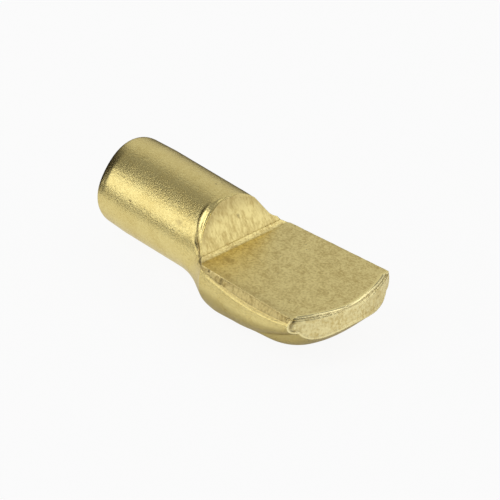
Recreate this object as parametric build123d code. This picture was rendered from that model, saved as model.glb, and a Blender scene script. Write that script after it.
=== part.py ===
from build123d import *
import math
import os

# A spoon-style shelf support pin, cold-formed in one piece from brass rod.
# X runs along the pin's axis towards the pad's front and Z is up out of the pad's flat.
# The origin is on the axis at the shank's root, where the plain round pin meets the
# swelling neck: the plane that the face of the cabinet side reaches.

# Plain shank that goes into the hole of the cabinet side
pin_diameter = 6.35
shank_length = 8.1
tip_diameter = 6.1
tip_taper_length = 2.2
tip_rim_radius = 0.2

# The rod was cropped slightly out of square
tip_lean_deg = 3.4

# Coining upset the rod, so it grows a little from the shank's root to the shoulder
shoulder_diameter = 6.4

# Shoulder wall left by the punch, leaning back over the shank
shoulder_foot_x = 3.0
shoulder_lean_deg = 26.8
shoulder_foot_radius = 0.35
flat_height = 0.54

# Outline of the flat, seen from above. The pad spread further on its right side.
# Its length is from the shoulder's foot.
pad_length = 10.5
left_half_width = 3.94
right_half_width_root = 3.55
right_half_width_front = 4.65
front_arc_radius = 7.3
front_arc_centre_y = 0.28

# Shallow flat that the die left on the shank's right flank, deepest at the shoulder
flank_flat_depth = 0.26
flank_flat_length = 2.9
flank_flat_deg = 33.0

# Raised lip at each end of the shoulder's foot, where the shank widens to the pad
lip_length = 2.2
lip_end = 0.6
lip_height = 0.4
left_lip_power = 1.7
right_lip_power = 1.6
left_crest_fullness = 0.64
right_crest_fullness = 0.35

# Steep strip that was trimmed just below the flat's side edges
strip_height_ends = 0.2
strip_height_middle = 0.93
strip_draft_deg = 24.0

# Belly: bulging sides down to the chine, and a crowned bottom between the chines
neck_sunk_in_shank = 1.7
neck_length = 5.3
root_share = 0.95
crest_share_root = 0.9
crest_share_shoulder = 0.985
side_bulge = 0.35
chine_depth = 2.54
chine_depth_front = 1.17
chine_share = 0.85
chine_share_front = 0.36
chine_rise_start = 5.4
bottom_depth = 3.33
bottom_depth_front = 1.17
bottom_rise_start = 6.8

# Curves of the cross-section, each a share of its own span
floor_flat_share = 0.4
floor_side_share = 0.78
floor_sink_share = 0.6
flank_out_share = 0.75
flank_up_share = 0.35
flank_middle_share = 0.5
crest_side_share = 0.98
crest_rise_share = 0.52

# Softened edges round the front face
front_edge_break = 0.12

# How far the blank's ends and the tools run past what they form
overrun = 1.0

pin_radius = pin_diameter / 2

# Inside the functions X is counted from the shoulder's foot, and the body is moved last
shank_root = -shoulder_foot_x
neck_start = shank_root - neck_sunk_in_shank
tip_end = shank_root - shank_length


def blend(start, end, t):
    return start + (end - start) * t


def ramp(x, start, end):
    """0 before start, 1 after end and straight between."""
    return min(max((x - start) / (end - start), 0.0), 1.0)


def smooth(t):
    """Rise from 0 to 1 that starts and ends level."""
    return t * t * (3 - 2 * t)


def half_section(x, side, full_width, lip_power, fullness):
    """Edges of one half of the blank's cross-section at x, from the bottom up to the top."""
    grown = smooth(ramp(x, neck_start, neck_start + neck_length))
    lip_reach = ramp(x, lip_end - lip_length, lip_end)
    lip = lip_reach**lip_power
    rise = ramp(x, chine_rise_start, pad_length)
    along = ramp(x, 0, pad_length)
    slope = math.tan(math.radians(strip_draft_deg))

    # The root of the blank stays inside the round shank, and its top is cut away later
    root = root_share * pin_radius
    top = blend(crest_share_root, crest_share_shoulder, lip_reach) * pin_radius
    root_corner = root * math.sin(math.radians(45))
    strip_top = flat_height + lip_height
    drop = blend(strip_height_ends, strip_height_middle, math.sin(math.pi * along))
    crease_z = flat_height - drop

    edge = blend(root, full_width, lip)
    upper = edge - lip_height * slope
    crease = edge + drop * slope * grown
    widest = crease + side_bulge * grown * (1 - rise)
    bottom = blend(root, bottom_depth, grown)
    bottom -= (bottom_depth - bottom_depth_front) * ramp(x, bottom_rise_start, pad_length) ** 2
    chine_y = crease * blend(chine_share, chine_share_front, rise**2)
    chine_y = blend(root_corner, chine_y, grown)
    chine_z = -blend(chine_depth, chine_depth_front, rise**1.3)
    chine_z = blend(-root_corner, chine_z, grown)

    def at(y, z):
        return (x, side * y, z)

    floor = Bezier(
        at(0, -bottom),
        at(floor_flat_share * chine_y, -bottom),
        at(floor_side_share * chine_y, blend(chine_z, -bottom, floor_sink_share)),
        at(chine_y, chine_z),
    )
    flank = Bezier(
        at(chine_y, chine_z),
        at(blend(chine_y, widest, flank_out_share), blend(chine_z, crease_z, flank_up_share)),
        at(widest, blend(chine_z, crease_z, flank_middle_share)),
        at(crease, crease_z),
    )
    strip = Line(at(crease, crease_z), at(upper, strip_top))
    crest = Bezier(
        at(upper, strip_top),
        at(crest_side_share * upper, blend(strip_top, top, crest_rise_share)),
        at(fullness * upper, top),
        at(0, top),
    )
    return [floor, flank, strip, crest]


def blank_section(x):
    """Closed cross-section of the coined blank in the plane at x."""
    right_width = blend(right_half_width_root, right_half_width_front, x / pad_length)
    left = half_section(x, -1, left_half_width, left_lip_power, left_crest_fullness)
    right = half_section(x, 1, right_width, right_lip_power, right_crest_fullness)
    return Wire(left + right)


def coined_blank():
    """Loft of the cross-sections, from inside the shank to past the front."""
    neck_end = neck_start + neck_length
    stations = [neck_start - overrun, neck_start]
    stations += [blend(neck_start, neck_end, i / 6) for i in range(1, 7)]
    stations += [blend(neck_end, pad_length, i / 7) for i in range(1, 8)]
    stations.append(pad_length + overrun)
    return Solid.make_loft([blank_section(x) for x in stations])


def shank():
    """Round pin with its lead-in taper and leaning, rounded tip, up to the shoulder."""
    tip_radius = tip_diameter / 2
    past_tip = tip_radius - overrun * (pin_radius - tip_radius) / tip_taper_length
    outline = Polyline(
        (tip_end - overrun, 0),
        (tip_end - overrun, past_tip),
        (tip_end + tip_taper_length, pin_radius),
        (shank_root, pin_radius),
        (lip_end, shoulder_diameter / 2),
        (lip_end, 0),
        close=True,
    )
    rod = revolve(make_face(outline), Axis.X)
    size = 3 * pin_diameter
    beyond = Box(size, size, size, align=(Align.MAX, Align.CENTER, Align.CENTER))
    rod -= Pos(tip_end, 0, 0) * Rot(0, 0, tip_lean_deg) * beyond
    end_face = rod.faces().sort_by(Axis.X)[0]
    return fillet(end_face.edges(), tip_rim_radius) - flank_flat()


def flank_flat():
    """Cutter for the flat on the right flank, sunk towards the shoulder."""
    size = 3 * pin_diameter
    block = Box(size, size, size, align=(Align.CENTER, Align.CENTER, Align.MIN))
    sink_deg = math.degrees(math.atan(flank_flat_depth / flank_flat_length))
    placed = Pos(-flank_flat_length, 0, pin_radius) * Rot(0, sink_deg, 0) * block
    return Rot(flank_flat_deg - 90, 0, 0) * placed


def punch():
    """Tool body that forms the flat and the leaning shoulder wall."""
    reach = pin_radius + 3 * overrun
    back = -(reach - flat_height) * math.tan(math.radians(shoulder_lean_deg))
    front = pad_length + 3 * overrun
    outline = Polyline((0, flat_height), (back, reach), (front, reach), (front, flat_height), close=True)
    profile = make_face(Plane.XZ * outline)
    foot = [v for v in profile.vertices() if abs(v.X) < 0.01 and abs(v.Z - flat_height) < 0.01]
    return extrude(fillet(foot, shoulder_foot_radius), 2 * right_half_width_front, both=True)


def front_trim():
    """Everything in front of the arc that the pad's front edge follows."""
    size = 4 * pad_length
    centre_x = pad_length - front_arc_radius
    disc = Pos(centre_x, front_arc_centre_y, 0) * Cylinder(front_arc_radius, size)
    behind = Box(size, size, size, align=(Align.MAX, Align.CENTER, Align.CENTER))
    return Box(size, size, size) - disc - Pos(centre_x, 0, 0) * behind


def soften(body):
    """Break the front face's edges, apart from its two upright corners."""
    front_face = body.faces().sort_by(Axis.X)[-1]
    *edges, corner, other_corner = front_face.edges().sort_by(lambda e: abs(e.center().Y))
    return fillet(edges, front_edge_break)


def support_pin():
    body = shank() + coined_blank() - punch() - front_trim()
    return Pos(shoulder_foot_x, 0, 0) * soften(body)


os.makedirs("parts", exist_ok=True)
export_step(support_pin(), "parts/support_pin.step")
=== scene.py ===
import math

import bmesh
import bpy
import numpy as np
from mathutils import Matrix, Vector, kdtree


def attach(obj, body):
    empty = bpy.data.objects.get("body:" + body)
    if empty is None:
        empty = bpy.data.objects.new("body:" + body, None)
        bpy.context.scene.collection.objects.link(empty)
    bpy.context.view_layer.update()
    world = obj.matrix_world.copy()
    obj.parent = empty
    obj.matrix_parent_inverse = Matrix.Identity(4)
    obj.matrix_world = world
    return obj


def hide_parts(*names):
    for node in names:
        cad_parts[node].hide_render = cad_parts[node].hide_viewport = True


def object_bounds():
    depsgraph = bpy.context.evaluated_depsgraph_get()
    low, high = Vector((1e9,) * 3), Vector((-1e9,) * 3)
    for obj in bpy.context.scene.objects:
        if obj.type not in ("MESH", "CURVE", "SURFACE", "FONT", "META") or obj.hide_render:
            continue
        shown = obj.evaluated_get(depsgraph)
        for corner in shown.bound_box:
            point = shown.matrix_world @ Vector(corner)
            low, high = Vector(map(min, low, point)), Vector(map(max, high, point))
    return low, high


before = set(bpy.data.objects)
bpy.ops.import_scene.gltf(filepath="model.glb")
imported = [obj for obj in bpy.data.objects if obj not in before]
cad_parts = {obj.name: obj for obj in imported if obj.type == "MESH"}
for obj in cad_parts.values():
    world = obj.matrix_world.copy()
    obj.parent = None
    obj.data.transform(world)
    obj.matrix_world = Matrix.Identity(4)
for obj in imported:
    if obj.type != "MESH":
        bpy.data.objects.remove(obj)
cad_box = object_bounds()

# ---- Camera ----
# It stands to the right of the pad's front and looks down along the pin, from far
# enough away that the sides of the pin stay nearly parallel.

MM = 0.001
view_turn = math.radians(48.31)
view_height = math.radians(32.6)
camera_distance = 349.25 * MM
camera_lens = 387.4
sensor_width = 36.0
aim = Vector((3.0, 0.0, 0.0)) * MM
aim_right = 0.55245 * MM
aim_down = 0.238125 * MM

to_right = Vector((math.cos(view_turn), math.sin(view_turn), 0.0))
to_camera = Vector((
    math.sin(view_turn) * math.cos(view_height),
    -math.cos(view_turn) * math.cos(view_height),
    math.sin(view_height),
))
to_top = to_camera.cross(to_right)
camera_place = aim + to_right * aim_right - to_top * aim_down + to_camera * camera_distance

camera = bpy.data.objects.new("camera", bpy.data.cameras.new("camera"))
bpy.context.scene.collection.objects.link(camera)
camera.data.lens = camera_lens
camera.data.sensor_width = sensor_width
camera.data.clip_start = 0.01
camera.data.clip_end = 10.0
turn = Matrix((to_right, to_top, to_camera)).transposed()
camera.matrix_world = Matrix.Translation(camera_place) @ turn.to_4x4()
bpy.context.scene.camera = camera

# ---- Floor and studio light ----
# A white floor, of which the metal sees only the small lit table round the pin, with a
# painted shadow right under the pin, and soft panels round it with dark gaps between them.

floor_span = 3.0
floor_gap = 0.01 * MM
floor_z = cad_box[0][2] - floor_gap
floor_white = 0.92
table_white = 0.88
shade_white = 0.25
table_middle = (2.5 * MM, -4.5 * MM, 0.0)
table_half = (19.5 * MM, 10.2 * MM, 1.0)
table_turn = math.radians(-6.0)
table_edge = (0.95, 1.1)
front_middle = (17.0 * MM, 0.0, 0.0)
front_half = (9.0 * MM, 14.0 * MM, 1.0)
front_edge = (0.9, 1.1)
shade_middle = (7.0 * MM, -0.5 * MM, 0.0)
shade_half = (6.5 * MM, 6.0 * MM, 1.0)
shade_edge = (0.8, 1.3)
room_brightest_towards = (0.25, 0.6, 1.0)
room_levels = (0.04, 0.4)

floor_mesh = bpy.data.meshes.new("floor")
floor_mesh.from_pydata(
    [(x * floor_span, y * floor_span, floor_z) for x, y in ((-1, -1), (1, -1), (1, 1), (-1, 1))],
    [],
    [(0, 1, 2, 3)],
)
floor = bpy.data.objects.new("floor", floor_mesh)
bpy.context.scene.collection.objects.link(floor)


def add(tree, kind, operation=None, **sockets):
    """New node of that kind in a tree, with its operation and the values of its sockets."""
    node = tree.nodes.new(kind)
    if operation:
        node.operation = operation
    for name, value in sockets.items():
        node.inputs[name.replace("_", " ")].default_value = value
    return node


floor_paint = bpy.data.materials.new("floor_paint")
floor_paint.use_nodes = True
tree = floor_paint.node_tree
tree.nodes.clear()
paint = add(tree, "ShaderNodeBsdfDiffuse", Color=(0.8, 0.8, 0.8, 1.0))
white = add(tree, "ShaderNodeEmission", Color=(1.0, 1.0, 1.0, 1.0), Strength=1.0)
beyond = add(tree, "ShaderNodeBsdfTransparent")
seen = add(tree, "ShaderNodeLightPath")


def outside(middle, half, turned, edge):
    """From 0 in a rectangle on the floor to 1 outside, between the two shares of its size."""
    place_on_floor = add(tree, "ShaderNodeTexCoord")
    from_middle = add(tree, "ShaderNodeMapping", Location=middle, Rotation=(0, 0, turned))
    from_middle.inputs["Scale"].default_value = half
    from_middle.vector_type = "TEXTURE"
    sizes = add(tree, "ShaderNodeVectorMath", "ABSOLUTE")
    axes = add(tree, "ShaderNodeSeparateXYZ")
    furthest = add(tree, "ShaderNodeMath", "MAXIMUM")
    share = add(tree, "ShaderNodeMapRange", From_Min=edge[0], From_Max=edge[1])
    tree.links.new(place_on_floor.outputs["Object"], from_middle.inputs["Vector"])
    tree.links.new(from_middle.outputs["Vector"], sizes.inputs[0])
    tree.links.new(sizes.outputs["Vector"], axes.inputs[0])
    tree.links.new(axes.outputs["X"], furthest.inputs[0])
    tree.links.new(axes.outputs["Y"], furthest.inputs[1])
    tree.links.new(furthest.outputs[0], share.inputs["Value"])
    return share.outputs["Result"]


off_table = add(tree, "ShaderNodeMath", "MINIMUM")
tree.links.new(outside(table_middle, table_half, table_turn, table_edge), off_table.inputs[0])
tree.links.new(outside(front_middle, front_half, 0.0, front_edge), off_table.inputs[1])
off_shade = outside(shade_middle, shade_half, 0.0, shade_edge)
camera_white = add(tree, "ShaderNodeMath", "MULTIPLY")
camera_white.inputs[1].default_value = floor_white
metal_white = add(tree, "ShaderNodeMapRange", To_Min=shade_white, To_Max=table_white)
glossy_or_clear = add(tree, "ShaderNodeMath", "MAXIMUM")
metal_share = add(tree, "ShaderNodeMath", "MULTIPLY")
white_share = add(tree, "ShaderNodeMath", "MAXIMUM")
gone = add(tree, "ShaderNodeMath", "MULTIPLY")
lit = add(tree, "ShaderNodeMixShader")
cut_out = add(tree, "ShaderNodeMixShader")
surface = add(tree, "ShaderNodeOutputMaterial")
for source, target in (
    (seen.outputs["Is Camera Ray"], camera_white.inputs[0]),
    (seen.outputs["Is Glossy Ray"], glossy_or_clear.inputs[0]),
    (seen.outputs["Is Transmission Ray"], glossy_or_clear.inputs[1]),
    (off_shade, metal_white.inputs["Value"]),
    (metal_white.outputs["Result"], metal_share.inputs[0]),
    (glossy_or_clear.outputs[0], metal_share.inputs[1]),
    (camera_white.outputs[0], white_share.inputs[0]),
    (metal_share.outputs[0], white_share.inputs[1]),
    (white_share.outputs[0], lit.inputs[0]),
    (paint.outputs[0], lit.inputs[1]),
    (white.outputs[0], lit.inputs[2]),
    (glossy_or_clear.outputs[0], gone.inputs[0]),
    (off_table.outputs[0], gone.inputs[1]),
    (gone.outputs[0], cut_out.inputs[0]),
    (lit.outputs[0], cut_out.inputs[1]),
    (beyond.outputs[0], cut_out.inputs[2]),
    (cut_out.outputs[0], surface.inputs["Surface"]),
):
    tree.links.new(source, target)
floor_mesh.materials.append(floor_paint)

world = bpy.data.worlds.new("studio")
bpy.context.scene.world = world
world.use_nodes = True
tree = world.node_tree
tree.nodes.clear()
room = add(tree, "ShaderNodeBackground")
backdrop = add(tree, "ShaderNodeBackground", Color=(1.0, 1.0, 1.0, 1.0), Strength=1.0)
heading = add(tree, "ShaderNodeTexCoord")
upward = add(tree, "ShaderNodeVectorMath", "DOT_PRODUCT")
upward.inputs[1].default_value = room_brightest_towards
room_level = add(tree, "ShaderNodeMapRange", From_Min=-0.1, From_Max=0.4)
room_level.inputs["To Min"].default_value, room_level.inputs["To Max"].default_value = room_levels
seen = add(tree, "ShaderNodeLightPath")
either = add(tree, "ShaderNodeMixShader")
surface = add(tree, "ShaderNodeOutputWorld")
tree.links.new(heading.outputs["Generated"], upward.inputs[0])
tree.links.new(upward.outputs["Value"], room_level.inputs["Value"])
tree.links.new(room_level.outputs["Result"], room.inputs["Strength"])
tree.links.new(seen.outputs["Is Camera Ray"], either.inputs[0])
tree.links.new(room.outputs[0], either.inputs[1])
tree.links.new(backdrop.outputs[0], either.inputs[2])
tree.links.new(either.outputs[0], surface.inputs["Surface"])


def soft_panel(name, towards, distance, width, height, level):
    """Area lamp in the direction `towards`, facing the pin, that looks as bright as `level`."""
    lamp = bpy.data.lights.new(name, "AREA")
    lamp.shape = "RECTANGLE"
    lamp.size = width
    lamp.size_y = height
    lamp.energy = level * math.pi * width * height
    panel = bpy.data.objects.new(name, lamp)
    bpy.context.scene.collection.objects.link(panel)
    away = Vector(towards).normalized()
    facing = away.to_track_quat("Z", "Y").to_matrix().to_4x4()
    panel.matrix_world = Matrix.Translation(aim + away * distance) @ facing


soft_panel("left_panel", (-0.62, -0.74, 0.19), distance=0.30, width=0.34, height=0.18, level=1.35)
soft_panel("edge_panel", (-0.25, -0.55, 0.79), distance=0.30, width=0.12, height=0.24, level=2.2)
soft_panel("back_panel", (-0.63, 0.68, 0.36), distance=0.34, width=0.34, height=0.34, level=0.42)
soft_panel("top_panel", (0.15, 0.55, 0.82), distance=0.34, width=0.22, height=0.22, level=1.15)
soft_panel("right_panel", (0.80, 0.56, 0.20), distance=0.30, width=0.30, height=0.22, level=0.82)

# ---- The pin ----
# One piece of brass rod. Its end was cropped, a punch coined the flat pad and left the
# leaning shoulder, the sides were trimmed, and it was tumbled. Sizes are in mm.

foot_x = 3.0
pin_radius = 3.175
shoulder_radius = 3.2
shank_end_x = -8.13
taper_length = 2.2
tip_radius = 3.08
tip_lean = math.radians(2.5)
rim_rounding = 0.17
rim_rounding_length = 0.5
worn_rim_depth = 0.3
worn_rim_length = 0.9
worn_rim_softness = 0.16
worn_rim_inner_radius = 2.0
worn_rim_place = math.radians(40.0)
worn_rim_spread = math.radians(32.0)

lean = math.radians(26.8)
flat_z = 0.54
foot_rise = 0.19
foot_run = 0.46
foot_hollow_power = 1.3

pad_length = 10.5
left_half_width = 3.94
right_half_width_root = 3.66
right_half_width_front = 4.65
front_arc_radius = 7.3
front_arc_centre_y = 0.28

front_set_back = 0.33
front_bulge = 0.14
front_bulge_y = -0.1
front_bulge_width = 1.3
front_corner_fade = 0.6

# The blank: its lip, trimmed strips, neck, chine and belly. Places along the pin are
# counted from the shoulder's foot.
lip_length = 2.2
lip_end = 0.6
lip_height = 0.4
lip_power_left = 1.7
lip_power_right = 1.6
strip_draft = math.radians(24.0)
strip_depth_ends = 0.2
strip_depth_middle = 0.68
side_bulge = 0.35
side_bulge_fades_from = 5.4
neck_sunk = 1.7
neck_length = 5.3
neck_fullness = 0.2
neck_fullness_x = -0.6
neck_fullness_length = 1.2
root_fullness = 0.1
root_fullness_x = 1.6
root_fullness_length = 1.5
chine_share = 0.86
chine_wide_from = 1.6
chine_depth = 2.54
chine_depth_front = 0.5
chine_rise_from = 3.6
chine_rise_to = 9.6
chine_rise_power = 1.75
bottom_depth = 3.33
bottom_depth_front = 0.98
bottom_rise_from = 6.8

# The flat that the tool pressed on the shank's right flank, and how shank and blank merge
flank_flat_depth = 0.26
flank_flat_length = 2.9
flank_flat_turn = math.radians(33.0)
shank_fade_length = 1.5
merge_from = -0.6
merge_to = 0.6
merge_softness = 0.12
flank_softness = 0.05


def blend(start, end, t):
    return start + (end - start) * t


def ramp(x, start, end):
    return np.clip((x - start) / (end - start), 0.0, 1.0)


def smooth(t):
    return t * t * (3 - 2 * t)


def bump(distance, width):
    """A bell curve: 1 at no distance, about a third at one width."""
    return np.exp(-((distance / width) ** 2))


def bezier(a, b, c, d, t):
    return a * (1 - t) ** 3 + 3 * b * t * (1 - t) ** 2 + 3 * c * t**2 * (1 - t) + d * t**3


def larger(a, b, softness):
    """The larger of two, with the crease between them rounded."""
    near = np.clip(1 - np.abs(a - b) / softness, 0.0, 1.0)
    return np.maximum(a, b) + near**2 * softness / 4


def blank_outline(x, side, part, t):
    """(y, z) on one half of the blank at x. Parts 0 to 3: floor, flank, strip and crest."""
    x = x - foot_x
    neck_start = -foot_x - neck_sunk
    grown = smooth(ramp(x, neck_start, neck_start + neck_length))
    reach = ramp(x, lip_end - lip_length, lip_end)
    rise = ramp(x, side_bulge_fades_from, pad_length)
    along = ramp(x, 0.0, pad_length)
    slope = math.tan(strip_draft)
    if side < 0:
        full_width = left_half_width
        lip = reach**lip_power_left
        fullness = 0.64
        crest_side = 0.98
        crest_rise = 0.52
    else:
        full_width = blend(right_half_width_root, right_half_width_front, x / pad_length)
        lip = reach**lip_power_right
        fullness = 0.35
        crest_side = 0.75
        crest_rise = 0.2
    root = 0.95 * pin_radius
    top = blend(0.9, 0.985, reach) * pin_radius
    root_corner = root * math.sin(math.radians(45.0))
    strip_top = flat_z + lip_height
    drop = blend(strip_depth_ends, strip_depth_middle, np.sin(math.pi * along))
    crease_z = flat_z - drop
    edge = blend(root, full_width, lip)
    upper = edge - lip_height * slope
    crease = edge + drop * slope * grown
    widest = crease + side_bulge * grown * (1 - rise)
    bottom = blend(root, bottom_depth, grown)
    bottom_rise = ramp(x, bottom_rise_from, pad_length) ** 2
    bottom = bottom - (bottom_depth - bottom_depth_front) * bottom_rise
    side_edge = blend(root, full_width, smooth(ramp(x, -lip_length, chine_wide_from)))
    side_edge = side_edge + drop * slope
    chine_y = blend(root_corner, chine_share * side_edge, grown)
    chine_rise = ramp(x, chine_rise_from, chine_rise_to) ** chine_rise_power
    chine_z = blend(-root_corner, -blend(chine_depth, chine_depth_front, chine_rise), grown)
    edged = smooth(ramp(x, 4.0, 7.0)) * (1 - 0.6 * ramp(x, 8.5, 10.0))
    fuller = neck_fullness * bump(x - neck_fullness_x, neck_fullness_length)
    fuller = fuller + root_fullness * bump(x - root_fullness_x, root_fullness_length)
    chine_y = chine_y + fuller
    chine_z = chine_z - fuller
    zero = 0 * x
    y = [
        bezier(zero, 0.4 * chine_y, blend(0.78, 0.97, edged) * chine_y, chine_y, t),
        bezier(chine_y, blend(chine_y, widest, 0.75), widest, crease, t),
        blend(crease, upper, t),
        bezier(upper, crest_side * upper, fullness * upper, zero, t),
    ]
    z = [
        bezier(-bottom, -bottom, blend(chine_z, -bottom, blend(0.6, 0.75, edged)), chine_z, t),
        bezier(
            chine_z,
            blend(chine_z, crease_z, blend(0.35, 0.2, rise)),
            blend(chine_z, crease_z, blend(0.5, 0.42, rise)),
            crease_z,
            t,
        ),
        blend(crease_z, strip_top, t),
        bezier(strip_top + zero, blend(strip_top, top, crest_rise), top, top, t),
    ]
    return side * np.choose(part, y), np.choose(part, z)


def shank_radius(x):
    """The plain shank with its taper, growing a little from the shank's root on."""
    taper = blend(tip_radius, pin_radius, ramp(x, shank_end_x, shank_end_x + taper_length))
    return taper + (shoulder_radius - pin_radius) * ramp(x, 0.0, foot_x + lip_end)


def pin_outline(x, side, part, t):
    """The blank together with the round shank."""
    y, z = blank_outline(x, side, part, t)
    distance = np.hypot(y, z)
    round_radius = shank_radius(x)
    if side > 0:
        sunk = flank_flat_depth * ramp(x, foot_x - flank_flat_length, foot_x)
        off_middle = np.arctan2(z, y) - flank_flat_turn
        flat_radius = (pin_radius - sunk) / np.maximum(np.cos(off_middle), 0.2)
        round_radius = -larger(-round_radius, -flat_radius, flank_softness)
    faded = round_radius * (1 - ramp(x, foot_x, foot_x + shank_fade_length))
    grown = larger(distance, faded, merge_softness)
    softened = blend(faded, grown, ramp(x, merge_from, merge_to))
    radius = np.where(distance > faded, grown, softened)
    radius = np.where(x < merge_from, np.maximum(faded, distance), radius)
    return y * radius / distance, z * radius / distance


def cut_height(x):
    """Height that the punch left at x: leaning shoulder, hollow at its foot, flat."""
    wall = flat_z + foot_rise + (foot_x - x) / math.tan(lean)
    near_foot = np.clip(1 - (x - foot_x) / foot_run, 0.0, 1.0)
    hollow = flat_z + foot_rise * near_foot**foot_hollow_power
    return np.where(x < foot_x, wall, hollow)


def front_x(y):
    """The trimmed front, an arc in plan."""
    centre = foot_x + pad_length - front_arc_radius
    return centre + np.sqrt(front_arc_radius**2 - (y - front_arc_centre_y) ** 2)


# Columns run from the middle of the underside up one side to the rim, and rows run along
# the pin. The counts are faces in each stretch of them.
part_columns = (30, 34, 12, 44)
end_face_rows = 18
rim_rows = 10
barrel_rows = 84
shoulder_rows = 26
slope_rows = 44
foot_rows = 14
pad_rows = 118
front_rows = 34
arc_rounds = 8
halvings = 26
part = np.repeat([0, 1, 2, 3], part_columns)
share = np.concatenate([np.arange(1, n + 1) / n for n in part_columns])
share = np.where(part == 3, 1 - (1 - share) ** 1.4, share)
share = np.where(part == 2, 1 - (1 - share) ** 1.3, share)
part = np.concatenate([[0], part])
share = np.concatenate([[0.0], share])


def half_rows(x_rows, side, pad_from, cut):
    """Points (rows, columns, 3) of one half, cut off above the height that cut(x) gives.

    From pad_from on, the rows bend to the front's arc.
    """
    x_rows = np.asarray(x_rows, float)[:, None]
    x = np.repeat(x_rows, len(part), axis=1)
    along = ramp(x_rows, pad_from, foot_x + pad_length)
    for _ in range(arc_rounds):
        low = np.zeros(len(x))
        high = np.full(len(x), 2.0)
        rim_x = x[:, -1]
        for _ in range(halvings):
            middle = (low + high) / 2
            _, z = pin_outline(rim_x, side, (middle > 1) + 2, middle - (middle > 1))
            above = z > cut(rim_x)
            high = np.where(above, middle, high)
            low = np.where(above, low, middle)
        end = np.where(low > 1.999, 2.0, low)[:, None]
        t = np.where(part == 2, share * np.minimum(end, 1), share)
        t = np.where(part == 3, share * np.maximum(end - 1, 0), t)
        t = np.where((part == 3) & (end < 1), end, t)
        y, z = pin_outline(x, side, np.where((part == 3) & (end < 1), 2, part), t)
        x = np.where(x_rows > pad_from, pad_from + along * (front_x(y) - pad_from), x_rows)
    return np.stack([x, y, z], axis=-1)


def spaced(start, end, count, first=1.0, last=1.0):
    """Places from start to end, closer together where first or last is below 1."""
    t = np.linspace(0, 1, count + 1)
    from_start = smooth(np.clip(t / 0.4, 0, 1))
    from_end = smooth(np.clip((1 - t) / 0.4, 0, 1))
    density = blend(first, 1.0, from_start) * blend(last, 1.0, from_end)
    grown = np.concatenate([[0], np.cumsum((density[1:] + density[:-1]) / 2)])
    return start + (end - start) * grown / grown[-1]


# Where the leaning wall meets the top of the shank
wall_top_x = foot_x
for _ in range(40):
    wall_top_x = foot_x - (shank_radius(wall_top_x) - flat_z - foot_rise) * math.tan(lean)
foot_finish = foot_x + foot_run

barrel_x = np.concatenate([
    spaced(shank_end_x + rim_rounding_length, 0.0, barrel_rows)[:-1],
    spaced(0.0, wall_top_x, shoulder_rows, 1.0, 0.5)[:-1],
])
slope_x = np.concatenate([
    spaced(wall_top_x, foot_x, slope_rows, 0.6, 0.4)[:-1],
    spaced(foot_x, foot_finish, foot_rows, 0.4, 0.6)[:-1],
])
pad_x = spaced(foot_finish, foot_x + pad_length, pad_rows, 0.7, 0.25)
all_x = np.concatenate([barrel_x, slope_x, pad_x])
left = half_rows(all_x, -1, foot_finish, cut_height)
right = half_rows(all_x, 1, foot_finish, cut_height)

# The tip: the cropped end face and its rounded rim, in the same columns and leaning
edge_radius = float(shank_radius(np.array(shank_end_x + rim_rounding_length)))
quarter = np.linspace(0, math.pi / 2, rim_rows + 1)[:-1]
inward = np.concatenate([np.linspace(0, 1, end_face_rows + 1)[:-1], np.ones(rim_rows)])[:, None]
dropped = np.concatenate([np.ones(end_face_rows), 1 - np.sin(quarter)])[:, None]
rounding_x = rim_rounding_length * (1 - np.cos(quarter))
tip_x = np.concatenate([np.zeros(end_face_rows), rounding_x])[:, None]


def with_tip(rows):
    """The rows of one half with the tip's rows before them, all leaning as the end face does."""
    outward = rows[0, :, 1:] / np.linalg.norm(rows[0, :, 1:], axis=-1, keepdims=True)
    turned = np.arctan2(outward[:, 1], -outward[:, 0])
    worn = bump(turned - worn_rim_place, worn_rim_spread)
    radius = inward * (edge_radius - dropped * rim_rounding * (1 - 0.65 * worn))
    tip = np.concatenate([
        np.broadcast_to(shank_end_x + tip_x, radius.shape)[..., None],
        radius[..., None] * outward,
    ], axis=-1)
    rows = np.concatenate([tip, rows])
    nearness = 1 - (rows[..., 0] - shank_end_x) / worn_rim_length
    nearness = larger(nearness, 0.0, worn_rim_softness)
    reach = np.hypot(rows[..., 1], rows[..., 2])
    lost = worn_rim_depth * worn * nearness * ramp(reach, 0.0, worn_rim_inner_radius)
    rows[..., 1:] *= (1 - lost / np.maximum(reach, worn_rim_inner_radius))[..., None]
    leaning = 1 - ramp(rows[..., 0], shank_end_x, shank_end_x + taper_length)
    rows[..., 0] -= math.tan(tip_lean) * rows[..., 1] * leaning
    return rows


left = with_tip(left)
right = with_tip(right)
first_cut_row = len(tip_x) + len(barrel_x)

# The shoulder's wall and the flat, in rows from rim to rim, with as many columns as the
# front edge has. The trimming tool rolled the flat's front edge back a little.
face_columns = 2 * sum(part_columns[:3])
across = np.linspace(-1, 1, face_columns + 1)
across = (across + 0.4 * np.sin(math.pi * across) / math.pi + 1) / 2
rim_left = left[first_cut_row:, -1]
rim_right = right[first_cut_row:, -1]
lid = rim_left[:, None] + (rim_right - rim_left)[:, None] * across[None, :, None]
on_pad = ramp(all_x[len(barrel_x):], foot_finish, foot_x + pad_length)[:, None]
front_y = lid[-1, :, 1]
from_corner = np.minimum(front_y - front_y[0], front_y[-1] - front_y)
bulge = front_bulge * bump(front_y - front_bulge_y, front_bulge_width)
set_back = (front_set_back - bulge) * smooth(ramp(from_corner, 0.0, front_corner_fade))
lid_x = foot_finish + on_pad * (front_x(lid[..., 1]) - set_back - foot_finish)
lid[..., 0] = np.where(on_pad > 0, lid_x, lid[..., 0])

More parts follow.
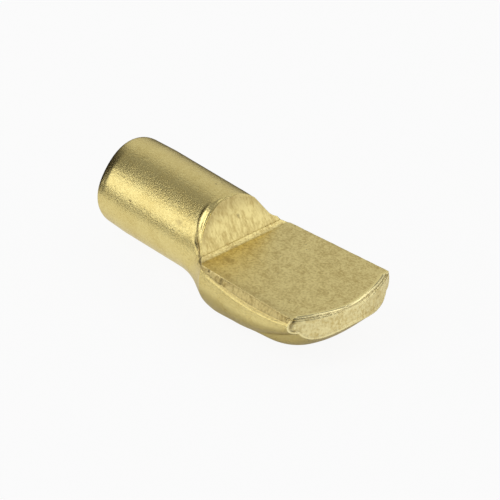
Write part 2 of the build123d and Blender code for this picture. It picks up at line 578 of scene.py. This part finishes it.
# The front face, in rows from the flat down to the belly's edge
below = np.concatenate([left[-1, ::-1], right[-1, 1:]])
apart = np.linalg.norm(np.diff(below, axis=0), axis=1) > 1e-6
below = below[np.concatenate([[True], apart])]
down = spaced(0, 1, front_rows, 0.25, 0.6)[:, None, None]
front = lid[-1][None] + (below - lid[-1])[None] * down
below_flat = flat_z - front[..., 2]
ledge_down = [0.0, 0.085, 0.13, 0.17, 0.2]
ledge_share = [1.0, 0.5, 0.45, 0.1, 0.0]
ledge = np.interp(below_flat, ledge_down, ledge_share)
ledge *= np.clip(4 * (1 - down[..., 0]), 0.0, 1.0)
front[..., 0] = front_x(front[..., 1]) - set_back * ledge

# All the points in one list, the faces between them, and for each point whether it is on
# the outside (0), the wall and flat (1) or the front face (2)
outer = np.concatenate([left[:, ::-1], right[:, 1:]], axis=1)
blocks = [outer, lid, front]
points = np.concatenate([b.reshape(-1, 3) for b in blocks])
place = np.repeat([0, 1, 2], [b.shape[0] * b.shape[1] for b in blocks])
trimmed_part = np.concatenate([part[::-1], part[1:]]) == 2
trimmed_from = foot_x + 0.2
trimmed = (trimmed_part[None, :] & (outer[..., 0] > trimmed_from)).ravel()
trimmed = np.concatenate([trimmed, np.zeros(len(points) - len(trimmed), bool)])
faces = []
offset = 0
for block in blocks:
    rows, columns = block.shape[:2]
    index = offset + np.arange(rows * columns).reshape(rows, columns)
    corners = [index[:-1, :-1], index[1:, :-1], index[1:, 1:], index[:-1, 1:]]
    faces.append(np.stack(corners, axis=-1).reshape(-1, 4))
    offset += rows * columns
faces = np.concatenate(faces)


def nearest(line, points_between=8):
    """Distance of each point of the pin to a line of points, and the line's nearest point."""
    steps = np.linspace(0, 1, points_between + 1)[:-1, None, None]
    denser = blend(line[:-1], line[1:], steps).transpose(1, 0, 2).reshape(-1, 3)
    line = np.concatenate([denser, line[-1:]])
    tree = kdtree.KDTree(len(line))
    for number, spot in enumerate(line):
        tree.insert(spot, number)
    tree.balance()
    found = [tree.find(spot) for spot in points]
    return np.array([f[2] for f in found]), line[[f[1] for f in found]]


def uneven(along, seed):
    """Slow and quick waves along an edge, between about 0.2 and 1."""
    slow = np.sin(2.3 * along + seed) + np.sin(5.9 * along + 2 * seed)
    quick = 0.7 * np.sin(14.1 * along + 3 * seed)
    return 0.6 + 0.15 * (slow + quick)


# The marks that forming and wear left on the surface. `moved` gathers how far each point goes,
# a second list how much darker it is painted, mostly painted shade, and a third how bare and
# bright it is, its lighter colour partly a painted highlight. Most marks keep to an edge: the
# shoulder's, the flat's on three sides, or the front face's lower one.
on_outside = place == 0
on_lid = place == 1
on_front = place == 2
wall_rows = int(np.sum(all_x[len(barrel_x):] <= foot_x + 1e-6))
shoulder = np.concatenate([rim_left[:wall_rows][::-1], rim_right[1:wall_rows]])
shoulder_gap, shoulder_spot = nearest(shoulder)
left_gap, left_spot = nearest(rim_left[wall_rows:])
right_gap, right_spot = nearest(rim_right[wall_rows:])
front_gap, front_spot = nearest(lid[-1])
low_gap, low_spot = nearest(below)

# The punch spread the metal beside the shoulder: on the left it swells out and rolls over
# to the wall. The shoulder's edge carries a fine bead, with a narrow groove behind it.
flare_height = 0.085
flare_place = math.radians(52)
flare_spread = math.radians(26)
flare_width_least = 0.2
flare_width_more = 0.32
flare_fade = 0.4
flare_at_edge = 0.2
flare_rolled = 1.2
bead_height = 0.012
bead_height_left = 0.022
bead_width = 0.035
groove_depth = 0.012
groove_depth_left = 0.035
groove_gap = 0.12
groove_width = 0.05

gap = shoulder_gap
turned = np.arctan2(shoulder_spot[:, 2], -shoulder_spot[:, 1])
along_wall_top = -math.tan(lean) * np.sin(turned)
out_of_axis = np.stack([along_wall_top, -np.cos(turned), np.sin(turned)], axis=-1)
near_flare = bump(turned - flare_place, flare_spread)
flare = flare_height * near_flare
flare_width = flare_width_least + flare_width_more * near_flare
rolled = flare_at_edge + flare_rolled * np.minimum(gap / flare_width, 1)
rolled = rolled * (1 - smooth(ramp(gap, flare_width, flare_width + flare_fade)))
flared = flare * np.where(on_lid, flare_at_edge * bump(gap, 0.15), rolled)
moved = out_of_axis * flared[:, None]
flare_top = 1 - smooth(ramp(gap, 0.8 * flare_width, flare_width))
# The flare's top and the shoulder's edge get the bare, lighter colour, partly painted highlight
rubbed_and_painted_highlight = 0.8 * flare / flare_height * on_outside * flare_top
left_share = 1 - smooth(ramp(turned, math.radians(75), math.radians(125)))
forward = np.array([math.cos(lean), 0, math.sin(lean)]) + out_of_axis
bead = (bead_height + bead_height_left * left_share) * bump(gap, bead_width)
groove = groove_depth + groove_depth_left * left_share
groove = groove * bump(gap - groove_gap, groove_width) * ramp(gap, 0, 0.04) * on_outside
moved += forward * bead[:, None] - out_of_axis * groove[:, None]
rubbed_and_painted_highlight = np.maximum(rubbed_and_painted_highlight, bump(gap, 0.04))

# A deep crease runs from beside the shoulder down to the trimmed strip, and on below it
crease = np.array([
    (1.45, -2.75, 1.6),
    (1.9, -2.95, 1.21),
    (2.31, -3.15, 0.74),
    (2.77, -3.47, 0.44),
    (3.5, -3.95, 0.37),
])
crease_depth = 0.13
crease_width = 0.17
crease_deepens = (1.45, 2.2)
crease_fades = (2.9, 3.5)
outward_left = np.array([0.0, -0.9, 0.35])
gap, spot = nearest(crease)
deepest = smooth(ramp(spot[:, 0], *crease_deepens)) * (1 - 0.8 * ramp(spot[:, 0], *crease_fades))
in_crease = deepest * bump(gap, crease_width) * on_outside
moved -= outward_left * (crease_depth * in_crease)[:, None]
# The crease is painted darker: painted shade
painted_shade_and_darkening = 0.9 * in_crease

# The crease goes on as a fine line along the strip's lower edge, with a slight swell below it
line_depth = 0.05
line_width = 0.07
line_deepens = (3.4, 5.0)
line_fades = (11.0, 12.0)
swell_height = 0.03
swell_gap = 0.2
swell_width = 0.13
crease_column = sum(part_columns[:2])
strip_rows = left[:, crease_column, 0] > foot_x + 0.4
gap, line_spot = nearest(left[strip_rows][:, crease_column])
line_share = smooth(ramp(line_spot[:, 0], *line_deepens))
line_share = line_share * (1 - 0.5 * smooth(ramp(line_spot[:, 0], *line_fades)))
below_crease = ramp(line_spot[:, 2] - points[:, 2], 0.0, 0.1)
swell = bump(gap - swell_gap, swell_width) * below_crease
moved -= outward_left * (line_depth * line_share * bump(gap, line_width) * on_outside)[:, None]
moved += outward_left * (swell_height * line_share * swell * on_outside)[:, None]
# Painted shade along the fine line
painted_shade_and_darkening = np.maximum(painted_shade_and_darkening, 0.55 * line_share * bump(gap, 0.1) * on_outside)

# From here on the strip was torn instead of cut: it lies a little deeper, with painted shade in
# the step
torn_from = 5.55
torn_step = 0.06
torn_step_length = 0.1
on_strip = on_outside * (points[:, 1] < 0) * (points[:, 2] < flat_z)
on_strip = on_strip * ramp(left_gap, 0.03, 0.12) * ramp(points[:, 2] - line_spot[:, 2], -0.02, 0.1)
past_step = smooth(ramp(points[:, 0], torn_from, torn_from + torn_step_length))
moved[:, 1] += torn_step * on_strip * past_step
in_step = bump(points[:, 0] - torn_from - 0.5 * torn_step_length, 0.08)
painted_shade_and_darkening = np.maximum(painted_shade_and_darkening, 0.5 * on_strip * in_step)

# The punch's edge left a fine groove along the shoulder's foot
foot_groove_depth = 0.04
foot_groove_width = 0.05
into_foot = np.array([-0.3, 0.0, 0.95])
gap, _ = nearest(lid[wall_rows - 1])
moved -= into_foot * (foot_groove_depth * bump(gap, foot_groove_width) * on_lid)[:, None]

# Burrs stand on the flat's left, right and front edges; rubbing keeps them bare, and their lighter
# colour is partly painted highlight
left_burr_height = 0.055
left_burr_width = 0.045
right_burr_height = 0.02
right_burr_width = 0.035
front_burr_height = 0.015
front_burr_width = 0.06
burr = uneven(left_spot[:, 0], 1.0)
left_burr = left_burr_height * burr * bump(left_gap, left_burr_width)
moved += np.array([0.0, -0.4, 0.9]) * left_burr[:, None]
rubbed_and_painted_highlight = np.maximum(rubbed_and_painted_highlight, bump(left_gap, 0.06) * burr * 1.2)
burr = uneven(right_spot[:, 0], 4.0)
right_burr = right_burr_height * burr * bump(right_gap, right_burr_width)
moved += np.array([0.0, 0.4, 0.9]) * right_burr[:, None]
burr = uneven(front_spot[:, 1], 2.0)
front_burr = front_burr_height * burr * bump(front_gap, front_burr_width)
moved += np.array([-0.2, 0.0, 0.9]) * front_burr[:, None]
rubbed_and_painted_highlight = np.maximum(rubbed_and_painted_highlight, bump(front_gap - 0.06, 0.1))

# A rounded ridge stands on the front's left corner, and a finer one along its lower edge
ridge_height = 0.09
ridge_width = 0.11
lower_ridge_height = 0.025
lower_ridge_width = 0.05
corner = ramp(low_spot[:, 2], -0.5, -0.1) * (low_spot[:, 1] < 0)
ridge = ridge_height * corner * bump(low_gap, ridge_width)
moved += np.array([0.7, -0.5, -0.1]) * ridge[:, None]
# The corner ridge gets the bare, lighter colour, partly painted highlight
rubbed_and_painted_highlight = np.maximum(rubbed_and_painted_highlight, (0.5 + 0.5 * corner) * bump(low_gap, 0.09))
lower_ridge = lower_ridge_height * (1 - corner) * uneven(low_spot[:, 1], 3.0)
moved += np.array([0.6, 0.0, -0.6]) * (lower_ridge * bump(low_gap, lower_ridge_width))[:, None]

# The front face lies a little behind its edges, deepest beside the corner ridge. It is
# ragged under its top edge, where the metal tore.
hollow_depth = 0.03
hollow_depth_corner = 0.05
hollow_gap = 0.25
hollow_width = 0.09
gap, _ = nearest(np.concatenate([below, lid[-1][::-1]]))
inside = on_front * ramp(gap, 0.0, 0.06)
corner = ramp(low_spot[:, 2], -0.7, -0.2) * (low_spot[:, 1] < 0)
hollow = (hollow_depth + hollow_depth_corner * corner) * inside
moved[:, 0] -= hollow * bump(low_gap - hollow_gap, hollow_width)
# Painted shade in the hollow beside the corner ridge
painted_shade_and_darkening = np.maximum(painted_shade_and_darkening, 0.7 * corner * inside * bump(low_gap - 0.27, 0.08))

tear_depth = 0.19
tear_dip = 0.08
tear_dips_y = (-1.4, 0.3)
tear_climb = 0.05
tear_climbs_y = (1.0, 2.2)
tear_starts_y = (-2.9, -1.9)
tear_fades_y = (1.0, 3.4)
torn_out = 0.09
torn_up = 0.04
torn_z = flat_z - tear_depth - tear_dip * smooth(ramp(points[:, 1], *tear_dips_y))
torn_z = torn_z + tear_climb * ramp(points[:, 1], *tear_climbs_y)
above_tear = points[:, 2] - torn_z
torn_share = ramp(points[:, 1], *tear_starts_y) * (1 - 0.7 * ramp(points[:, 1], *tear_fades_y))
torn_share = torn_share * inside
teeth = 1 + 0.5 * np.sin(23.0 * points[:, 1] + 9.0 * points[:, 2])
ragged = uneven(3.1 * points[:, 1], 5.0) * teeth
moved[:, 0] += torn_out * torn_share * ragged * bump(above_tear, 0.06)
moved[:, 2] += torn_up * torn_share * ragged * bump(above_tear - 0.03, 0.05)
# The torn lumps get the bare, lighter colour: real wear with painted glints
rubbed_and_painted_highlight = np.maximum(rubbed_and_painted_highlight, 0.8 * torn_share * ragged * bump(above_tear, 0.1))
# A thin dark line of painted shade under the flat's front edge
painted_shade_line = bump(front_gap - 0.19, 0.04) * uneven(2.0 * front_spot[:, 1], 7.0)
painted_shade_and_darkening = np.maximum(painted_shade_and_darkening, 0.8 * inside * painted_shade_line)

# Small hollows pressed in by other pieces: their middle, size, push out of the surface that
# they undo, and how dark the painted shade in them is
for centre, size, push, painted_darkening in (
    ((11.9, -3.95, 0.46), (0.16, 0.12, 0.14), (0.0, -0.07, 0.02), 0.6),
    ((2.35, 0.27, 1.91), (0.1, 0.07, 0.16), (0.04, 0.0, 0.02), 0.6),
    ((0.0, -2.76, 1.57), (0.3, 0.14, 0.2), (0.0, -0.025, 0.015), 0.5),
    ((4.32, -2.25, 0.54), (0.45, 0.22, 0.2), (0.0, 0.0, 0.01), 0.5),
):
    near = np.exp(-np.sum(((points - np.array(centre)) / np.array(size)) ** 2, axis=1))
    moved -= near[:, None] * np.array(push)
    painted_shade_and_darkening = np.maximum(painted_shade_and_darkening, painted_darkening * near)

# The wall is painted darker along its edge and towards its top, the worn side of the tip's rim
# carries a painted dark reflection, and the flat is painted darker along its left edge
on_wall = on_lid * (points[:, 0] < foot_x)
along_edge = bump(shoulder_gap, 0.4) * ramp(shoulder_spot[:, 2], 0.8, 2.0)
painted_shade_and_darkening = np.maximum(painted_shade_and_darkening, 0.45 * on_wall * along_edge)
painted_shade_and_darkening = np.maximum(painted_shade_and_darkening, 0.45 * on_wall * smooth(ramp(points[:, 2], 1.7, 3.1)))
turned = np.arctan2(points[:, 2], -points[:, 1])
at_tip = bump(turned - worn_rim_place - 0.1, 0.75 * worn_rim_spread) * on_outside
at_tip = at_tip * (1 - smooth(ramp(points[:, 0], -7.75, -7.0)))
painted_shade_and_darkening = np.maximum(painted_shade_and_darkening, 0.75 * at_tip)
on_flat = on_lid * (points[:, 0] > foot_x)
painted_shade_and_darkening = np.maximum(painted_shade_and_darkening, 0.25 * on_flat * bump(left_gap, 0.5))

# Places that two of the grids share move together, which keeps the skin closed. The skin
# stays a hair inside the CAD solid's box.
box_margin = 0.002
_, shared = np.unique(np.round(points, 5), axis=0, return_inverse=True)
shared = shared.ravel()
times = np.bincount(shared)
moved = np.stack([np.bincount(shared, along) / times for along in moved.T], axis=-1)[shared]
points = points + moved
lowest_corner = np.array(cad_box[0]) / MM + box_margin
highest_corner = np.array(cad_box[1]) / MM - box_margin
points = np.clip(points, lowest_corner, highest_corner)

mesh = bpy.data.meshes.new("pin")
mesh.from_pydata((points * MM).tolist(), [], faces.tolist())
for name, mask in (("coined", on_lid), ("sheared", trimmed), ("front", on_front)):
    layer = mesh.attributes.new(name, "FLOAT", "FACE")
    layer.data.foreach_set("value", mask[faces].all(axis=1))
for name, level in (("painted_shade_and_darkening", painted_shade_and_darkening), ("rubbed_and_painted_highlight", np.clip(rubbed_and_painted_highlight, 0.0, 1.0))):
    mesh.attributes.new(name, "FLOAT", "POINT").data.foreach_set("value", level)
shaped = bmesh.new()
shaped.from_mesh(mesh)
bmesh.ops.remove_doubles(shaped, verts=shaped.verts, dist=0.001 * MM)
bmesh.ops.recalc_face_normals(shaped, faces=shaped.faces)
bmesh.ops.triangulate(shaped, faces=shaped.faces)
shaped.to_mesh(mesh)
shaped.free()
mesh.shade_smooth()
pin = bpy.data.objects.new("pin", mesh)
bpy.context.scene.collection.objects.link(pin)

# The finish that all of its faces share: grain, blotches and pits left by the tumbling


def tumbled_finish():
    """Shader node group: tone, roughness and height of tumbled brass at a place in mm."""
    group = bpy.data.node_groups.new("tumbled_finish", "ShaderNodeTree")
    sockets = group.interface
    sockets.new_socket("Place", in_out="INPUT", socket_type="NodeSocketVector")
    for name, value in (
        ("Grain per mm", 7.0),
        ("Blotches per mm", 0.8),
        ("Pits per mm", 1.6),
        ("Base Roughness", 0.3),
    ):
        socket = sockets.new_socket(name, in_out="INPUT", socket_type="NodeSocketFloat")
        socket.default_value = value
    for name in ("Dullness", "Pitting", "Roughness", "Height"):
        sockets.new_socket(name, in_out="OUTPUT", socket_type="NodeSocketFloat")
    given = add(group, "NodeGroupInput")
    result = add(group, "NodeGroupOutput")
    grain = add(group, "ShaderNodeTexNoise", Detail=4.0, Roughness=0.65)
    blotch = add(group, "ShaderNodeTexNoise", Detail=6.0, Roughness=0.68, Distortion=0.6)
    pit = add(group, "ShaderNodeTexVoronoi", Randomness=1.0)
    rare = add(group, "ShaderNodeSeparateColor")
    kept = add(group, "ShaderNodeMapRange", From_Min=0.7, From_Max=1.0)
    depth = add(group, "ShaderNodeMapRange", From_Min=0.14, From_Max=0.04)
    pitted = add(group, "ShaderNodeMath", "MULTIPLY")
    blotch_share = add(group, "ShaderNodeMapRange", From_Min=0.38, From_Max=0.68, To_Max=0.75)
    grain_share = add(group, "ShaderNodeMapRange", From_Min=0.35, From_Max=0.7)
    grain_share.inputs["To Min"].default_value = -0.45
    grain_share.inputs["To Max"].default_value = 0.75
    dull = add(group, "ShaderNodeMath", "ADD")
    dull.use_clamp = True
    rougher = add(group, "ShaderNodeMath", "MULTIPLY_ADD")
    rougher.inputs[1].default_value = 0.07
    lower = add(group, "ShaderNodeMath", "MULTIPLY_ADD")
    lower.inputs[1].default_value = -1.0
    for source, target in (
        (given.outputs["Place"], grain.inputs["Vector"]),
        (given.outputs["Grain per mm"], grain.inputs["Scale"]),
        (given.outputs["Place"], blotch.inputs["Vector"]),
        (given.outputs["Blotches per mm"], blotch.inputs["Scale"]),
        (given.outputs["Place"], pit.inputs["Vector"]),
        (given.outputs["Pits per mm"], pit.inputs["Scale"]),
        (pit.outputs["Color"], rare.inputs[0]),
        (rare.outputs[0], kept.inputs["Value"]),
        (pit.outputs["Distance"], depth.inputs["Value"]),
        (kept.outputs["Result"], pitted.inputs[0]),
        (depth.outputs["Result"], pitted.inputs[1]),
        (blotch.outputs["Fac"], blotch_share.inputs["Value"]),
        (grain.outputs["Fac"], grain_share.inputs["Value"]),
        (blotch_share.outputs["Result"], dull.inputs[0]),
        (grain_share.outputs["Result"], dull.inputs[1]),
        (dull.outputs[0], rougher.inputs[0]),
        (given.outputs["Base Roughness"], rougher.inputs[2]),
        (pitted.outputs[0], lower.inputs[0]),
        (grain.outputs["Fac"], lower.inputs[2]),
        (dull.outputs[0], result.inputs["Dullness"]),
        (pitted.outputs[0], result.inputs["Pitting"]),
        (rougher.outputs[0], result.inputs["Roughness"]),
        (lower.outputs[0], result.inputs["Height"]),
    ):
        group.links.new(source, target)
    return group


finish = tumbled_finish()


def brass(name, stretch, turn, grain, blotches, pits, roughness, bump_depth, clean, dulled):
    """Brass with the tumbled finish, its grain stretched along one direction.

    The grain, blotches and pits are counted per mm, and bump_depth is in mm.
    """
    material = bpy.data.materials.new(name)
    material.use_nodes = True
    tree = material.node_tree
    shader = tree.nodes["Principled BSDF"]
    shader.inputs["Metallic"].default_value = 1.0
    shader.inputs["Specular Tint"].default_value = (0.82, 0.79, 0.7, 1.0)
    place_on_pin = add(tree, "ShaderNodeTexCoord")
    in_mm = add(tree, "ShaderNodeMapping", Rotation=turn, Scale=[s * MM for s in stretch])
    in_mm.vector_type = "TEXTURE"
    # Pits and the painted darkening, which is mostly painted shade, turn the colour towards a dark
    # brown
    painted_darkening = add(tree, "ShaderNodeAttribute")
    painted_darkening.attribute_name = "painted_shade_and_darkening"
    darkest = add(tree, "ShaderNodeMath", "MAXIMUM")
    # Bare places get the clean colour and less roughness: partly real wear, partly painted
    # highlight
    shine = add(tree, "ShaderNodeAttribute")
    shine.attribute_name = "rubbed_and_painted_highlight"
    still_dull = add(tree, "ShaderNodeMath", "SUBTRACT")
    still_dull.use_clamp = True
    kept_relief = add(tree, "ShaderNodeMath", "SUBTRACT")
    kept_relief.inputs[0].default_value = 1.0
    kept_relief.use_clamp = True
    flattened = add(tree, "ShaderNodeMath", "MULTIPLY")
    smoother = add(tree, "ShaderNodeMix")
    smoother.inputs["B"].default_value = 0.2
    worn = add(tree, "ShaderNodeGroup")
    worn.node_tree = finish
    worn.inputs["Grain per mm"].default_value = grain
    worn.inputs["Blotches per mm"].default_value = blotches
    worn.inputs["Pits per mm"].default_value = pits
    worn.inputs["Base Roughness"].default_value = roughness
    metal = add(tree, "ShaderNodeMix")
    metal.data_type = "RGBA"
    darkened = add(tree, "ShaderNodeMix")
    darkened.data_type = "RGBA"
    relief = add(tree, "ShaderNodeBump", Distance=bump_depth * MM)
    metal_in = [s for s in metal.inputs if s.type == "RGBA"]
    darkened_in = [s for s in darkened.inputs if s.type == "RGBA"]
    metal_in[0].default_value = (*clean, 1.0)
    metal_in[1].default_value = (*dulled, 1.0)
    darkened_in[1].default_value = (0.3, 0.22, 0.09, 1.0)
    metal_out = [s for s in metal.outputs if s.type == "RGBA"][0]
    darkened_out = [s for s in darkened.outputs if s.type == "RGBA"][0]
    for source, target in (
        (place_on_pin.outputs["Object"], in_mm.inputs["Vector"]),
        (in_mm.outputs["Vector"], worn.inputs["Place"]),
        (worn.outputs["Dullness"], still_dull.inputs[0]),
        (shine.outputs["Fac"], still_dull.inputs[1]),
        (still_dull.outputs[0], metal.inputs[0]),
        (worn.outputs["Pitting"], darkest.inputs[0]),
        (painted_darkening.outputs["Fac"], darkest.inputs[1]),
        (darkest.outputs[0], darkened.inputs[0]),
        (metal_out, darkened_in[0]),
        (darkened_out, shader.inputs["Base Color"]),
        (shine.outputs["Fac"], smoother.inputs["Factor"]),
        (worn.outputs["Roughness"], smoother.inputs["A"]),
        (smoother.outputs["Result"], shader.inputs["Roughness"]),
        (shine.outputs["Fac"], kept_relief.inputs[1]),
        (worn.outputs["Height"], flattened.inputs[0]),
        (kept_relief.outputs[0], flattened.inputs[1]),
        (flattened.outputs[0], relief.inputs["Height"]),
        (relief.outputs["Normal"], shader.inputs["Normal"]),
    ):
        tree.links.new(source, target)
    return material


drawn = brass(
    "tumbled_brass", stretch=(1.2, 1, 1), turn=(0, 0, 0), grain=7.0, blotches=0.7, pits=1.3,
    roughness=0.21, bump_depth=0.026, clean=(0.80, 0.67, 0.28), dulled=(0.70, 0.56, 0.21),
)
coined = brass(
    "coined_brass", stretch=(1, 1, 2.5), turn=(0, -lean, 0), grain=6.5, blotches=1.4, pits=2.4,
    roughness=0.28, bump_depth=0.03, clean=(0.84, 0.71, 0.31), dulled=(0.58, 0.445, 0.165),
)
# Sheared brass: its darker colours are painted shade for the small shadows in its rough face
sheared = brass(
    "sheared_brass_painted_shade", stretch=(1, 1, 3), turn=(0, 0, 0), grain=7.0, blotches=1.0, pits=1.6,
    roughness=0.42, bump_depth=0.06, clean=(0.76, 0.62, 0.27), dulled=(0.46, 0.34, 0.12),
)
torn = brass(
    "torn_brass", stretch=(1, 1, 1.3), turn=(0, 0, 0), grain=6.0, blotches=1.0, pits=1.6,
    roughness=0.28, bump_depth=0.06, clean=(0.88, 0.77, 0.40), dulled=(0.66, 0.52, 0.21),
)

# Tumbling against other pieces left slow waves and small nicks all over


def tumbling():
    """Geometry node tree that waves and nicks the surface and gives each face its material."""
    group = bpy.data.node_groups.new("tumbling", "GeometryNodeTree")
    sockets = group.interface
    sockets.new_socket("Geometry", in_out="INPUT", socket_type="NodeSocketGeometry")
    for name, value in (
        ("Wave Height", 0.012 * MM),
        ("Waves per Metre", 500.0),
        ("Nicks per Square Metre", 250000.0),
        ("Nick Radius", 0.14 * MM),
        ("Nick Depth", 0.006 * MM),
    ):
        socket = sockets.new_socket(name, in_out="INPUT", socket_type="NodeSocketFloat")
        socket.default_value = value
    seed = sockets.new_socket("Seed", in_out="INPUT", socket_type="NodeSocketInt")
    seed.default_value = 4
    sockets.new_socket("Geometry", in_out="OUTPUT", socket_type="NodeSocketGeometry")
    given = add(group, "NodeGroupInput")
    result = add(group, "NodeGroupOutput")
    normal = add(group, "GeometryNodeInputNormal")
    wave = add(group, "ShaderNodeTexNoise", Detail=2.0, Roughness=0.5)
    wave_level = add(group, "ShaderNodeMath", "SUBTRACT")
    wave_level.inputs[1].default_value = 0.5
    wave_height = add(group, "ShaderNodeMath", "MULTIPLY")
    nicks = add(group, "GeometryNodeDistributePointsOnFaces")
    to_nick = add(group, "GeometryNodeProximity")
    to_nick.target_element = "POINTS"
    nick_depth = add(group, "ShaderNodeMapRange", To_Max=0.0)
    nick_depth.interpolation_type = "SMOOTHSTEP"
    offset = add(group, "ShaderNodeMath", "SUBTRACT")
    along_normal = add(group, "ShaderNodeVectorMath", "SCALE")
    moved_skin = add(group, "GeometryNodeSetPosition")
    real = add(group, "GeometryNodeRealizeInstances")
    for source, target in (
        (given.outputs["Waves per Metre"], wave.inputs["Scale"]),
        (wave.outputs["Fac"], wave_level.inputs[0]),
        (wave_level.outputs[0], wave_height.inputs[0]),
        (given.outputs["Wave Height"], wave_height.inputs[1]),
        (given.outputs["Geometry"], nicks.inputs["Mesh"]),
        (given.outputs["Nicks per Square Metre"], nicks.inputs["Density"]),
        (given.outputs["Seed"], nicks.inputs["Seed"]),
        (nicks.outputs["Points"], to_nick.inputs[0]),
        (to_nick.outputs["Distance"], nick_depth.inputs["Value"]),
        (given.outputs["Nick Radius"], nick_depth.inputs["From Max"]),
        (given.outputs["Nick Depth"], nick_depth.inputs["To Min"]),
        (wave_height.outputs[0], offset.inputs[0]),
        (nick_depth.outputs["Result"], offset.inputs[1]),
        (normal.outputs[0], along_normal.inputs[0]),
        (offset.outputs[0], along_normal.inputs["Scale"]),
        (given.outputs["Geometry"], moved_skin.inputs["Geometry"]),
        (along_normal.outputs[0], moved_skin.inputs["Offset"]),
        (moved_skin.outputs[0], real.inputs[0]),
    ):
        group.links.new(source, target)
    last = real.outputs[0]
    for material, attribute in (
        (drawn, None),
        (coined, "coined"),
        (sheared, "sheared"),
        (torn, "front"),
    ):
        paint_faces = add(group, "GeometryNodeSetMaterial", Material=material)
        if attribute:
            named = add(group, "GeometryNodeInputNamedAttribute", Name=attribute)
            chosen = add(group, "FunctionNodeCompare")
            chosen.inputs["B"].default_value = 0.5
            group.links.new(named.outputs["Attribute"], chosen.inputs["A"])
            group.links.new(chosen.outputs[0], paint_faces.inputs["Selection"])
        group.links.new(last, paint_faces.inputs["Geometry"])
        last = paint_faces.outputs[0]
    group.links.new(last, result.inputs[0])
    return group


tumble = pin.modifiers.new("tumbling", "NODES")
tumble.node_group = tumbling()
bpy.context.view_layer.update()
tumbled = pin.evaluated_get(bpy.context.evaluated_depsgraph_get())
ready = bpy.data.meshes.new_from_object(tumbled)
pin.modifiers.remove(tumble)
places = np.zeros(3 * len(ready.vertices))
ready.vertices.foreach_get("co", places)
places = np.clip(places.reshape(-1, 3), lowest_corner * MM, highest_corner * MM)
ready.vertices.foreach_set("co", places.ravel())
ready.update()
pin.data = ready

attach(pin, "root")
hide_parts("support_pin")

# ---- Finish ----
bpy.context.scene.view_settings.view_transform = "Standard"
